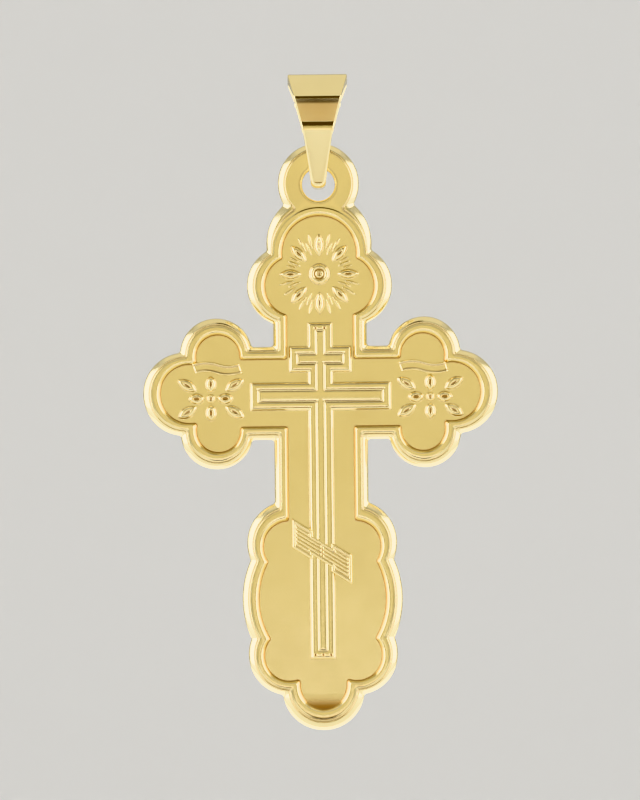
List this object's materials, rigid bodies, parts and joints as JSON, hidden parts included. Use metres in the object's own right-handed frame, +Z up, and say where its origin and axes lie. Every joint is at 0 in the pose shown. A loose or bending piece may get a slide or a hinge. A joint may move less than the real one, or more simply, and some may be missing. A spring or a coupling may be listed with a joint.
{
  "type": "orthodox cross pendant",
  "caption": "Cast three-bar cross pendant in yellow gold with a scalloped edge, raised sun and cross figures and a folded bail.",
  "frame": {"origin": "where the neck chain bears, in the middle of the inside of the bail's top", "axes": "+X across the arms to the viewer's right, +Y to the plain back, +Z up; the raised figures face -Y"},
  "size_m": [0.02, 0.0044, 0.0369],
  "materials": {
    "bail_gold": "polished",
    "cross_gold": "polished"
  },
  "bodies": {
    "bail": {"bail": "bail_gold"},
    "cross": {"cross": "cross_gold"}
  },
  "joints": [
    {"name": "cross_swing", "type": "hinge", "parent": "bail", "child": "cross", "pos_m": [0, 0, -0.00402], "axis": [1, 0, 0], "range_deg": [-80, 80]}
  ]
}
